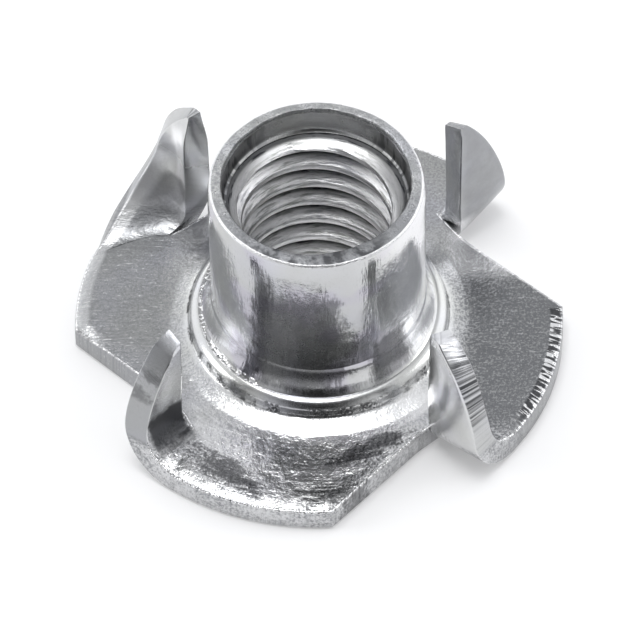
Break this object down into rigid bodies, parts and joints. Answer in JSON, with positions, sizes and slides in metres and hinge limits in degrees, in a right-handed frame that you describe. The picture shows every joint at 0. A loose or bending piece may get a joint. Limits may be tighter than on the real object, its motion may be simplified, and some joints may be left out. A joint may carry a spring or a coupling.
{
  "type": "tee nut",
  "caption": "Pronged tee nut: a flange folded into sharp prongs round a drawn barrel with an internal thread, driven into timber to hold a screw.",
  "frame": {"origin": "centre of the flange's underside, on the barrel's axis", "axes": "+Z along the barrel's axis, from the flange to the rim; +X within a few degrees of one sharp corner of the flange"},
  "size_m": [0.0222, 0.0222, 0.0109],
  "materials": {
    "zinc_plate": "bright zinc plate, lightly grained, with tool marks"
  },
  "bodies": {
    "root": {"tee_nut": "zinc_plate"}
  },
  "joints": []
}
